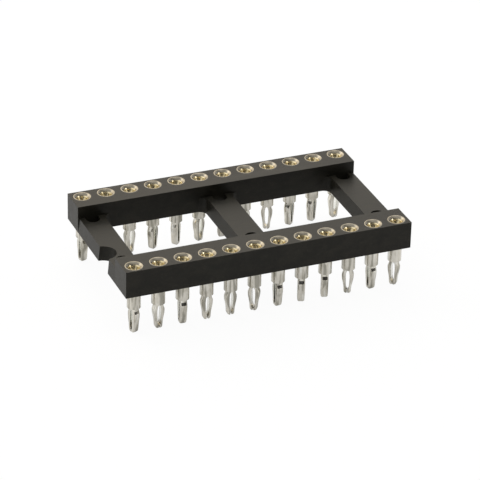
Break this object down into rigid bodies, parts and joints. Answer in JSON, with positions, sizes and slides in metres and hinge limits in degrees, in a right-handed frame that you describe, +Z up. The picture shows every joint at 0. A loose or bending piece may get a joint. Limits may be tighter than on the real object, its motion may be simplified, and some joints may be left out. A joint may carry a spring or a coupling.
{
  "type": "ic socket",
  "caption": "Open-frame IC socket with rails of turned contacts, spring-finger clips and split press-fit tails, crossbars with pockets and a half round index notch.",
  "frame": {"origin": "under the middle of the socket, on the plane of the tail tips", "axes": "+X along the contact rows, away from the index notch; +Y from the front row, contacts 1 to 12, to the rear row; +Z up, the way a chip is lifted out"},
  "size_m": [0.0304, 0.0174, 0.0073],
  "materials": {
    "moulding": "satin",
    "tin_plate": "bright tin over brass",
    "gold_plate": "gold over copper alloy"
  },
  "bodies": {
    "root": {"insulator_frame": "moulding", "pin_sleeve_01": "tin_plate", "pin_sleeve_02": "tin_plate", "pin_sleeve_03": "tin_plate", "pin_sleeve_04": "tin_plate", "pin_sleeve_05": "tin_plate", "pin_sleeve_06": "tin_plate", "pin_sleeve_07": "tin_plate", "pin_sleeve_08": "tin_plate", "pin_sleeve_09": "tin_plate", "pin_sleeve_10": "tin_plate", "pin_sleeve_11": "tin_plate", "pin_sleeve_12": "tin_plate", "pin_sleeve_13": "tin_plate", "pin_sleeve_14": "tin_plate", "pin_sleeve_15": "tin_plate", "pin_sleeve_16": "tin_plate", "pin_sleeve_17": "tin_plate", "pin_sleeve_18": "tin_plate", "pin_sleeve_19": "tin_plate", "pin_sleeve_20": "tin_plate", "pin_sleeve_21": "tin_plate", "pin_sleeve_22": "tin_plate", "pin_sleeve_23": "tin_plate", "pin_sleeve_24": "tin_plate", "contact_clip_01": "gold_plate", "contact_clip_02": "gold_plate", "contact_clip_03": "gold_plate", "contact_clip_04": "gold_plate", "contact_clip_05": "gold_plate", "contact_clip_06": "gold_plate", "contact_clip_07": "gold_plate", "contact_clip_08": "gold_plate", "contact_clip_09": "gold_plate", "contact_clip_10": "gold_plate", "contact_clip_11": "gold_plate", "contact_clip_12": "gold_plate", "contact_clip_13": "gold_plate", "contact_clip_14": "gold_plate", "contact_clip_15": "gold_plate", "contact_clip_16": "gold_plate", "contact_clip_17": "gold_plate", "contact_clip_18": "gold_plate", "contact_clip_19": "gold_plate", "contact_clip_20": "gold_plate", "contact_clip_21": "gold_plate", "contact_clip_22": "gold_plate", "contact_clip_23": "gold_plate", "contact_clip_24": "gold_plate"}
  },
  "joints": []
}
